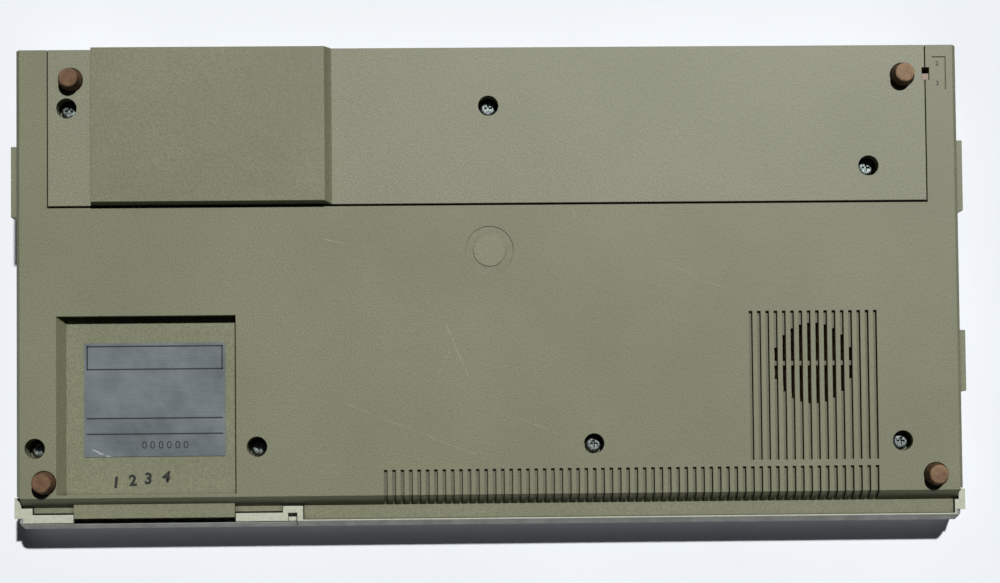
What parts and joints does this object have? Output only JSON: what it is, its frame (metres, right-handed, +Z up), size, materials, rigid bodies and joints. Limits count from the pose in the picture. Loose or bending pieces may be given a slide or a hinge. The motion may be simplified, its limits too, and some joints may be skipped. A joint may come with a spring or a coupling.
{
  "type": "home computer",
  "caption": "Low wedge-shaped home computer with hard keys in a dark well, hinged cartridge door, side ports, vented roof and a khaki underside on rubber feet.",
  "frame": {"origin": "on the floor under the middle of the case, between the soles of the feet", "axes": "+Z up, front edge towards -Y, rear wall towards +Y, cartridge door on the +X side"},
  "size_m": [0.3778, 0.1884, 0.045],
  "materials": {
    "top_case": "silver paint over cream plastic",
    "bottom_case": "fine grain",
    "rear_panel": "fine grain",
    "key_bezel": "fine grain",
    "key_membrane": "smooth",
    "keyboard_backplate": "rolled",
    "main_board": "lacquered board",
    "rf_modulator": "tinned",
    "joystick_ports": "moulded with metal pins",
    "rear_jacks": "moulded",
    "cartridge_connector": "moulded",
    "speaker": "paper cone",
    "label_plate": "printed foil",
    "feet": "matte",
    "case_screws": "zinc plated",
    "cartridge_door": "silver paint over cream plastic",
    "power_switch": "ribbed",
    "channel_switch": "moulded",
    "key_cap": "satin"
  },
  "bodies": {
    "base": {"top_case": "top_case", "bottom_case": "bottom_case", "rear_panel": "rear_panel", "key_bezel": "key_bezel", "key_membrane": "key_membrane", "keyboard_backplate": "keyboard_backplate", "main_board": "main_board", "rf_modulator": "rf_modulator", "joystick_ports": "joystick_ports", "rear_jacks": "rear_jacks", "cartridge_connector": "cartridge_connector", "speaker": "speaker", "label_plate": "label_plate", "feet": "feet", "case_screws": "case_screws"},
    "door": {"cartridge_door": "cartridge_door"},
    "power_knob": {"power_switch": "power_switch"},
    "channel_knob": {"channel_switch": "channel_switch"},
    "key_space": {"key_space": "key_cap"},
    "key_shift_left": {"key_shift_left": "key_cap"},
    "key_z": {"key_z": "key_cap"},
    "key_x": {"key_x": "key_cap"},
    "key_c": {"key_c": "key_cap"},
    "key_v": {"key_v": "key_cap"},
    "key_b": {"key_b": "key_cap"},
    "key_n": {"key_n": "key_cap"},
    "key_m": {"key_m": "key_cap"},
    "key_symbol": {"key_symbol": "key_cap"},
    "key_break": {"key_break": "key_cap"},
    "key_shift_right": {"key_shift_right": "key_cap"},
    "key_a": {"key_a": "key_cap"},
    "key_s": {"key_s": "key_cap"},
    "key_d": {"key_d": "key_cap"},
    "key_f": {"key_f": "key_cap"},
    "key_g": {"key_g": "key_cap"},
    "key_h": {"key_h": "key_cap"},
    "key_j": {"key_j": "key_cap"},
    "key_k": {"key_k": "key_cap"},
    "key_l": {"key_l": "key_cap"},
    "key_enter": {"key_enter": "key_cap"},
    "key_q": {"key_q": "key_cap"},
    "key_w": {"key_w": "key_cap"},
    "key_e": {"key_e": "key_cap"},
    "key_r": {"key_r": "key_cap"},
    "key_t": {"key_t": "key_cap"},
    "key_y": {"key_y": "key_cap"},
    "key_u": {"key_u": "key_cap"},
    "key_i": {"key_i": "key_cap"},
    "key_o": {"key_o": "key_cap"},
    "key_p": {"key_p": "key_cap"},
    "key_1": {"key_1": "key_cap"},
    "key_2": {"key_2": "key_cap"},
    "key_3": {"key_3": "key_cap"},
    "key_4": {"key_4": "key_cap"},
    "key_5": {"key_5": "key_cap"},
    "key_6": {"key_6": "key_cap"},
    "key_7": {"key_7": "key_cap"},
    "key_8": {"key_8": "key_cap"},
    "key_9": {"key_9": "key_cap"},
    "key_0": {"key_0": "key_cap"}
  },
  "joints": [
    {"name": "door_hinge", "type": "hinge", "parent": "base", "child": "door", "pos_m": [0.13136, 0.00966, 0.03481], "axis": [-1, 0, 0], "range_deg": [0, 95]},
    {"name": "power_slide", "type": "slide", "parent": "base", "child": "power_knob", "axis": [0, 1, 0], "range_m": [0, 0.0044]},
    {"name": "channel_slide", "type": "slide", "parent": "base", "child": "channel_knob", "axis": [0, 1, 0], "range_m": [0, 0.0022]},
    {"name": "press_space", "type": "slide", "parent": "base", "child": "key_space", "axis": [0, 0.1132, -0.9936], "range_m": [0, 0.0027], "stiffness_N_per_m": 150, "springref_m": -0.0007},
    {"name": "press_shift_left", "type": "slide", "parent": "base", "child": "key_shift_left", "axis": [0, 0.1132, -0.9936], "range_m": [0, 0.0027], "stiffness_N_per_m": 150, "springref_m": -0.0007},
    {"name": "press_z", "type": "slide", "parent": "base", "child": "key_z", "axis": [0, 0.1132, -0.9936], "range_m": [0, 0.0027], "stiffness_N_per_m": 150, "springref_m": -0.0007},
    {"name": "press_x", "type": "slide", "parent": "base", "child": "key_x", "axis": [0, 0.1132, -0.9936], "range_m": [0, 0.0027], "stiffness_N_per_m": 150, "springref_m": -0.0007},
    {"name": "press_c", "type": "slide", "parent": "base", "child": "key_c", "axis": [0, 0.1132, -0.9936], "range_m": [0, 0.0027], "stiffness_N_per_m": 150, "springref_m": -0.0007},
    {"name": "press_v", "type": "slide", "parent": "base", "child": "key_v", "axis": [0, 0.1132, -0.9936], "range_m": [0, 0.0027], "stiffness_N_per_m": 150, "springref_m": -0.0007},
    {"name": "press_b", "type": "slide", "parent": "base", "child": "key_b", "axis": [0, 0.1132, -0.9936], "range_m": [0, 0.0027], "stiffness_N_per_m": 150, "springref_m": -0.0007},
    {"name": "press_n", "type": "slide", "parent": "base", "child": "key_n", "axis": [0, 0.1132, -0.9936], "range_m": [0, 0.0027], "stiffness_N_per_m": 150, "springref_m": -0.0007},
    {"name": "press_m", "type": "slide", "parent": "base", "child": "key_m", "axis": [0, 0.1132, -0.9936], "range_m": [0, 0.0027], "stiffness_N_per_m": 150, "springref_m": -0.0007},
    {"name": "press_symbol", "type": "slide", "parent": "base", "child": "key_symbol", "axis": [0, 0.1132, -0.9936], "range_m": [0, 0.0027], "stiffness_N_per_m": 150, "springref_m": -0.0007},
    {"name": "press_break", "type": "slide", "parent": "base", "child": "key_break", "axis": [0, 0.1132, -0.9936], "range_m": [0, 0.0027], "stiffness_N_per_m": 150, "springref_m": -0.0007},
    {"name": "press_shift_right", "type": "slide", "parent": "base", "child": "key_shift_right", "axis": [0, 0.1132, -0.9936], "range_m": [0, 0.0027], "stiffness_N_per_m": 150, "springref_m": -0.0007},
    {"name": "press_a", "type": "slide", "parent": "base", "child": "key_a", "axis": [0, 0.1132, -0.9936], "range_m": [0, 0.0027], "stiffness_N_per_m": 150, "springref_m": -0.0007},
    {"name": "press_s", "type": "slide", "parent": "base", "child": "key_s", "axis": [0, 0.1132, -0.9936], "range_m": [0, 0.0027], "stiffness_N_per_m": 150, "springref_m": -0.0007},
    {"name": "press_d", "type": "slide", "parent": "base", "child": "key_d", "axis": [0, 0.1132, -0.9936], "range_m": [0, 0.0027], "stiffness_N_per_m": 150, "springref_m": -0.0007},
    {"name": "press_f", "type": "slide", "parent": "base", "child": "key_f", "axis": [0, 0.1132, -0.9936], "range_m": [0, 0.0027], "stiffness_N_per_m": 150, "springref_m": -0.0007},
    {"name": "press_g", "type": "slide", "parent": "base", "child": "key_g", "axis": [0, 0.1132, -0.9936], "range_m": [0, 0.0027], "stiffness_N_per_m": 150, "springref_m": -0.0007},
    {"name": "press_h", "type": "slide", "parent": "base", "child": "key_h", "axis": [0, 0.1132, -0.9936], "range_m": [0, 0.0027], "stiffness_N_per_m": 150, "springref_m": -0.0007},
    {"name": "press_j", "type": "slide", "parent": "base", "child": "key_j", "axis": [0, 0.1132, -0.9936], "range_m": [0, 0.0027], "stiffness_N_per_m": 150, "springref_m": -0.0007},
    {"name": "press_k", "type": "slide", "parent": "base", "child": "key_k", "axis": [0, 0.1132, -0.9936], "range_m": [0, 0.0027], "stiffness_N_per_m": 150, "springref_m": -0.0007},
    {"name": "press_l", "type": "slide", "parent": "base", "child": "key_l", "axis": [0, 0.1132, -0.9936], "range_m": [0, 0.0027], "stiffness_N_per_m": 150, "springref_m": -0.0007},
    {"name": "press_enter", "type": "slide", "parent": "base", "child": "key_enter", "axis": [0, 0.1132, -0.9936], "range_m": [0, 0.0027], "stiffness_N_per_m": 150, "springref_m": -0.0007},
    {"name": "press_q", "type": "slide", "parent": "base", "child": "key_q", "axis": [0, 0.1132, -0.9936], "range_m": [0, 0.0027], "stiffness_N_per_m": 150, "springref_m": -0.0007},
    {"name": "press_w", "type": "slide", "parent": "base", "child": "key_w", "axis": [0, 0.1132, -0.9936], "range_m": [0, 0.0027], "stiffness_N_per_m": 150, "springref_m": -0.0007},
    {"name": "press_e", "type": "slide", "parent": "base", "child": "key_e", "axis": [0, 0.1132, -0.9936], "range_m": [0, 0.0027], "stiffness_N_per_m": 150, "springref_m": -0.0007},
    {"name": "press_r", "type": "slide", "parent": "base", "child": "key_r", "axis": [0, 0.1132, -0.9936], "range_m": [0, 0.0027], "stiffness_N_per_m": 150, "springref_m": -0.0007},
    {"name": "press_t", "type": "slide", "parent": "base", "child": "key_t", "axis": [0, 0.1132, -0.9936], "range_m": [0, 0.0027], "stiffness_N_per_m": 150, "springref_m": -0.0007},
    {"name": "press_y", "type": "slide", "parent": "base", "child": "key_y", "axis": [0, 0.1132, -0.9936], "range_m": [0, 0.0027], "stiffness_N_per_m": 150, "springref_m": -0.0007},
    {"name": "press_u", "type": "slide", "parent": "base", "child": "key_u", "axis": [0, 0.1132, -0.9936], "range_m": [0, 0.0027], "stiffness_N_per_m": 150, "springref_m": -0.0007},
    {"name": "press_i", "type": "slide", "parent": "base", "child": "key_i", "axis": [0, 0.1132, -0.9936], "range_m": [0, 0.0027], "stiffness_N_per_m": 150, "springref_m": -0.0007},
    {"name": "press_o", "type": "slide", "parent": "base", "child": "key_o", "axis": [0, 0.1132, -0.9936], "range_m": [0, 0.0027], "stiffness_N_per_m": 150, "springref_m": -0.0007},
    {"name": "press_p", "type": "slide", "parent": "base", "child": "key_p", "axis": [0, 0.1132, -0.9936], "range_m": [0, 0.0027], "stiffness_N_per_m": 150, "springref_m": -0.0007},
    {"name": "press_1", "type": "slide", "parent": "base", "child": "key_1", "axis": [0, 0.1132, -0.9936], "range_m": [0, 0.0027], "stiffness_N_per_m": 150, "springref_m": -0.0007},
    {"name": "press_2", "type": "slide", "parent": "base", "child": "key_2", "axis": [0, 0.1132, -0.9936], "range_m": [0, 0.0027], "stiffness_N_per_m": 150, "springref_m": -0.0007},
    {"name": "press_3", "type": "slide", "parent": "base", "child": "key_3", "axis": [0, 0.1132, -0.9936], "range_m": [0, 0.0027], "stiffness_N_per_m": 150, "springref_m": -0.0007},
    {"name": "press_4", "type": "slide", "parent": "base", "child": "key_4", "axis": [0, 0.1132, -0.9936], "range_m": [0, 0.0027], "stiffness_N_per_m": 150, "springref_m": -0.0007},
    {"name": "press_5", "type": "slide", "parent": "base", "child": "key_5", "axis": [0, 0.1132, -0.9936], "range_m": [0, 0.0027], "stiffness_N_per_m": 150, "springref_m": -0.0007},
    {"name": "press_6", "type": "slide", "parent": "base", "child": "key_6", "axis": [0, 0.1132, -0.9936], "range_m": [0, 0.0027], "stiffness_N_per_m": 150, "springref_m": -0.0007},
    {"name": "press_7", "type": "slide", "parent": "base", "child": "key_7", "axis": [0, 0.1132, -0.9936], "range_m": [0, 0.0027], "stiffness_N_per_m": 150, "springref_m": -0.0007},
    {"name": "press_8", "type": "slide", "parent": "base", "child": "key_8", "axis": [0, 0.1132, -0.9936], "range_m": [0, 0.0027], "stiffness_N_per_m": 150, "springref_m": -0.0007},
    {"name": "press_9", "type": "slide", "parent": "base", "child": "key_9", "axis": [0, 0.1132, -0.9936], "range_m": [0, 0.0027], "stiffness_N_per_m": 150, "springref_m": -0.0007},
    {"name": "press_0", "type": "slide", "parent": "base", "child": "key_0", "axis": [0, 0.1132, -0.9936], "range_m": [0, 0.0027], "stiffness_N_per_m": 150, "springref_m": -0.0007}
  ]
}
